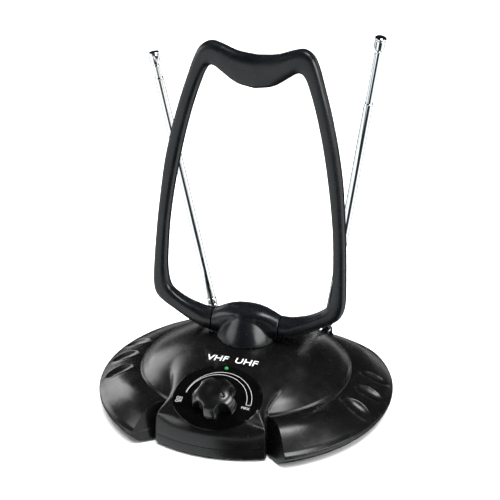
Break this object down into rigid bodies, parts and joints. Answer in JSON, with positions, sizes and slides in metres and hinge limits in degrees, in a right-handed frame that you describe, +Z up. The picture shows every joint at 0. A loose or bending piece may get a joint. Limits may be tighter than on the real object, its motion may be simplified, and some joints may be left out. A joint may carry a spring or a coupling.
{
  "type": "indoor television antenna",
  "caption": "Amplified indoor TV antenna: round weighted base with a sloping gain control, a tilting UHF loop on a central turret, and swivelling telescopic VHF rods.",
  "frame": {"origin": "centre of the anti-slip pad's underside, on the vertical axis of the base's round rim", "axes": "+Z up, -Y towards the front with the gain knob, +X to the right seen from the front"},
  "size_m": [0.1996, 0.168, 0.2468],
  "materials": {
    "satin_plastic": "satin, fine texture",
    "gloss_plastic": "polished",
    "rod_chrome": "polished",
    "zinc_steel": "zinc plated",
    "brass": "plain",
    "pad_rubber": "matte",
    "green_lens": "tinted lens",
    "board": "solder mask",
    "copper": "plain",
    "wire": "insulation"
  },
  "bodies": {
    "base": {"upper_housing": "satin_plastic", "lower_tray": "satin_plastic", "anti_slip_pad": "pad_rubber", "ballast_plate": "zinc_steel", "case_screw_1": "zinc_steel", "case_screw_2": "zinc_steel", "case_screw_3": "zinc_steel", "case_screw_4": "zinc_steel", "control_panel": "gloss_plastic", "gain_potentiometer": "zinc_steel", "potentiometer_nut": "brass", "power_led": "green_lens", "circuit_board": "board", "shield_can": "zinc_steel", "smoothing_capacitor": "gloss_plastic", "coax_socket": "rod_chrome", "power_inlet": "gloss_plastic", "turret_cover": "satin_plastic", "turret_screw_1": "zinc_steel", "turret_screw_2": "zinc_steel", "loop_axle": "zinc_steel", "friction_washer_left": "brass", "friction_washer_right": "brass", "rod_lead_left": "wire", "rod_lead_right": "wire"},
    "gain_control": {"gain_knob": "gloss_plastic", "gain_shaft": "zinc_steel"},
    "loop": {"loop_front": "satin_plastic", "loop_rear": "satin_plastic", "loop_conductor": "copper"},
    "left_post": {"rod_swivel_left": "satin_plastic", "rod_nut_left": "brass", "rod_pin_left": "zinc_steel"},
    "left_outer_tube": {"rod_knuckle_left": "rod_chrome", "rod_tube_1_left": "rod_chrome"},
    "left_second_tube": {"rod_tube_2_left": "rod_chrome"},
    "left_third_tube": {"rod_tube_3_left": "rod_chrome"},
    "left_tip": {"rod_tip_left": "rod_chrome"},
    "right_post": {"rod_swivel_right": "satin_plastic", "rod_nut_right": "brass", "rod_pin_right": "zinc_steel"},
    "right_outer_tube": {"rod_knuckle_right": "rod_chrome", "rod_tube_1_right": "rod_chrome"},
    "right_second_tube": {"rod_tube_2_right": "rod_chrome"},
    "right_third_tube": {"rod_tube_3_right": "rod_chrome"},
    "right_tip": {"rod_tip_right": "rod_chrome"}
  },
  "joints": [
    {"name": "gain_turn", "type": "hinge", "parent": "base", "child": "gain_control", "pos_m": [0, -0.06763, 0.03151], "axis": [0, -0.4226, 0.9063], "range_deg": [-27, 213]},
    {"name": "loop_tilt", "type": "hinge", "parent": "base", "child": "loop", "pos_m": [0, 0.003, 0.053], "axis": [1, 0, 0], "range_deg": [-5, 75]},
    {"name": "left_rod_swivel", "type": "hinge", "parent": "base", "child": "left_post", "pos_m": [-0.041, 0.0585, 0.0255], "axis": [0, 0, -1], "range_deg": [-36, 64]},
    {"name": "left_rod_tilt", "type": "hinge", "parent": "left_post", "child": "left_outer_tube", "pos_m": [-0.041, 0.0585, 0.0255], "axis": [-0.1908, -0.9816, 0], "range_deg": [-13.8, 74]},
    {"name": "left_second_slide", "type": "slide", "parent": "left_outer_tube", "child": "left_second_tube", "axis": [-0.2342, 0.0455, 0.9711], "range_m": [-0.0084, 0.1296]},
    {"name": "left_third_slide", "type": "slide", "parent": "left_second_tube", "child": "left_third_tube", "axis": [-0.2342, 0.0455, 0.9711], "range_m": [0, 0.128]},
    {"name": "left_tip_slide", "type": "slide", "parent": "left_third_tube", "child": "left_tip", "axis": [-0.2342, 0.0455, 0.9711], "range_m": [0, 0.121]},
    {"name": "right_rod_swivel", "type": "hinge", "parent": "base", "child": "right_post", "pos_m": [0.041, 0.0585, 0.0255], "axis": [0, 0, 1], "range_deg": [-11, 88]},
    {"name": "right_rod_tilt", "type": "hinge", "parent": "right_post", "child": "right_outer_tube", "pos_m": [0.041, 0.0585, 0.0255], "axis": [0.2334, 0.9724, 0], "range_deg": [-8.9, 78]},
    {"name": "right_second_slide", "type": "slide", "parent": "right_outer_tube", "child": "right_second_tube", "axis": [0.1504, -0.0361, 0.988], "range_m": [-0.0369, 0.1011]},
    {"name": "right_third_slide", "type": "slide", "parent": "right_second_tube", "child": "right_third_tube", "axis": [0.1504, -0.0361, 0.988], "range_m": [0, 0.128]},
    {"name": "right_tip_slide", "type": "slide", "parent": "right_third_tube", "child": "right_tip", "axis": [0.1504, -0.0361, 0.988], "range_m": [0, 0.121]}
  ]
}
